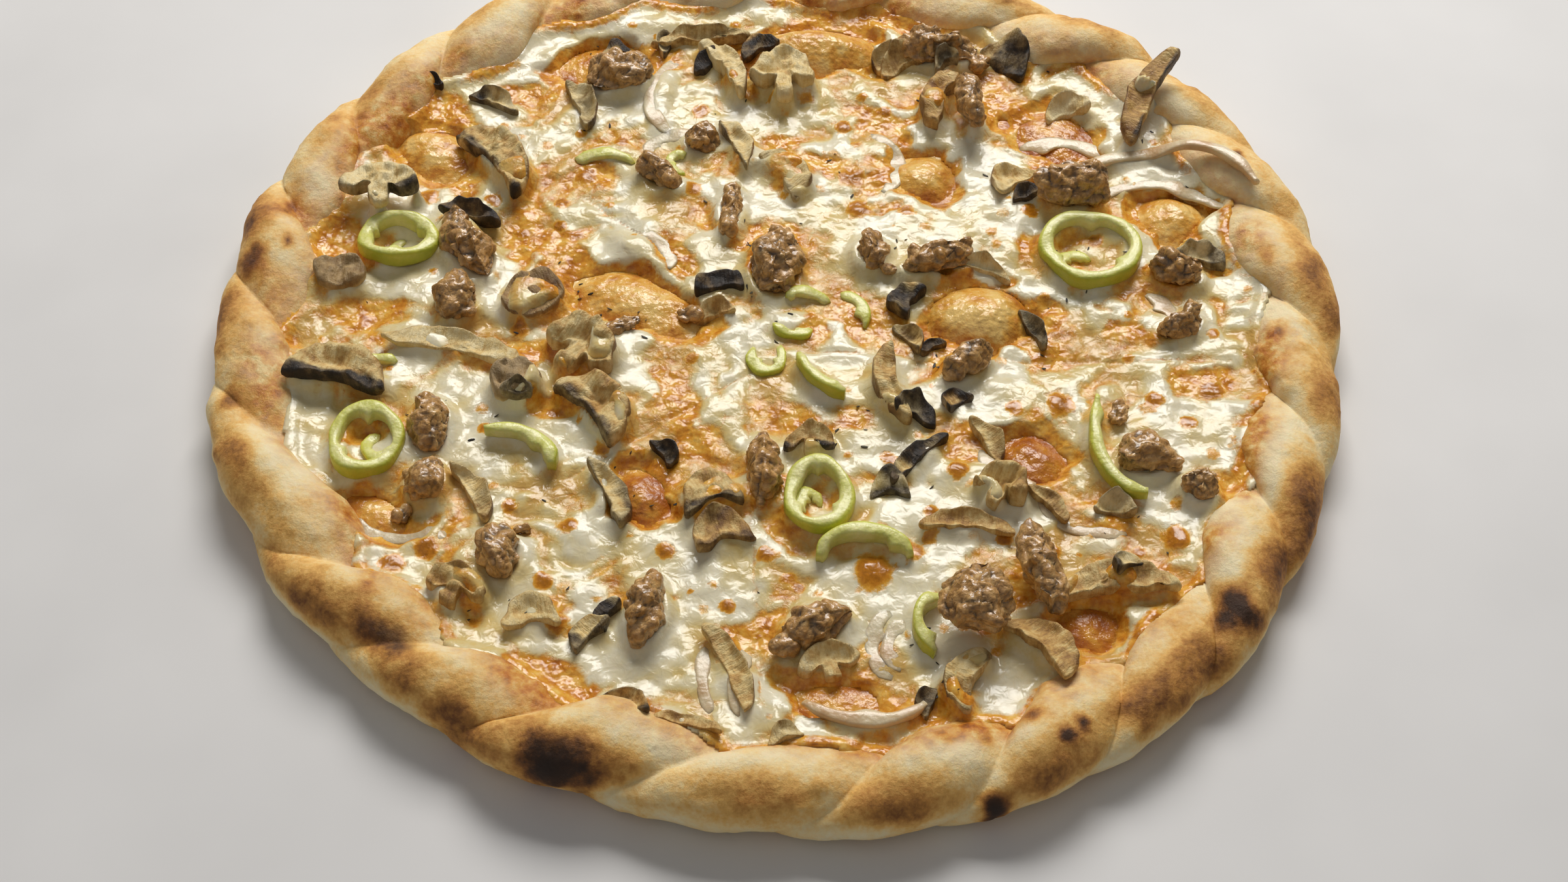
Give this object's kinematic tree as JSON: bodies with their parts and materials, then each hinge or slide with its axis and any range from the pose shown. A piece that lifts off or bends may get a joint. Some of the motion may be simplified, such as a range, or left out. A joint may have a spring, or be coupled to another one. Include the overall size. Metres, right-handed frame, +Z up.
{
  "type": "pizza",
  "caption": "Round hand-stretched pizza with a rolled, folded rim, melted cheese, sausage lumps, mushroom slices, green pepper rings and onion bows; it lies flat on its base.",
  "frame": {"origin": "middle of the pizza on the surface it lies on", "axes": "+Z up, +Y towards the far side of the picture's view, +X to its right"},
  "size_m": [0.2964, 0.3004, 0.0257],
  "materials": {
    "dough": "baked dough, matt, toasted brown on the crests",
    "sauce": "oily golden to red-orange sauce",
    "cheese": "melted cheese, glossy, with brown blisters",
    "sausage": "fried minced sausage, craggy and oily",
    "mushroom": "baked mushroom, tan flesh with dark gills",
    "pepper": "softened green pepper, translucent",
    "onion": "softened onion, translucent"
  },
  "bodies": {
    "root": {"cheese": "cheese", "crust": "dough", "mushroom_01": "mushroom", "mushroom_02": "mushroom", "mushroom_03": "mushroom", "mushroom_04": "mushroom", "mushroom_05": "mushroom", "mushroom_06": "mushroom", "mushroom_07": "mushroom", "mushroom_08": "mushroom", "mushroom_09": "mushroom", "mushroom_10": "mushroom", "mushroom_11": "mushroom", "mushroom_12": "mushroom", "mushroom_13": "mushroom", "mushroom_14": "mushroom", "mushroom_15": "mushroom", "mushroom_16": "mushroom", "mushroom_17": "mushroom", "mushroom_18": "mushroom", "mushroom_19": "mushroom", "mushroom_20": "mushroom", "mushroom_21": "mushroom", "onion_01": "onion", "onion_02": "onion", "pepper_01": "pepper", "pepper_02": "pepper", "pepper_03": "pepper", "pepper_04": "pepper", "pepper_05": "pepper", "pepper_06": "pepper", "pepper_07": "pepper", "pepper_08": "pepper", "pepper_09": "pepper", "sauce": "sauce", "sausage_01": "sausage", "sausage_02": "sausage", "sausage_03": "sausage", "sausage_04": "sausage", "sausage_05": "sausage", "sausage_06": "sausage", "sausage_07": "sausage", "sausage_08": "sausage", "sausage_09": "sausage", "sausage_10": "sausage", "sausage_11": "sausage", "sausage_12": "sausage", "sausage_13": "sausage", "sausage_14": "sausage", "sausage_15": "sausage", "sausage_16": "sausage", "sausage_17": "sausage", "sausage_18": "sausage", "sausage_19": "sausage", "sausage_20": "sausage", "sausage_21": "sausage", "sausage_22": "sausage", "sausage_23": "sausage", "sausage_24": "sausage", "sausage_25": "sausage"}
  },
  "joints": []
}
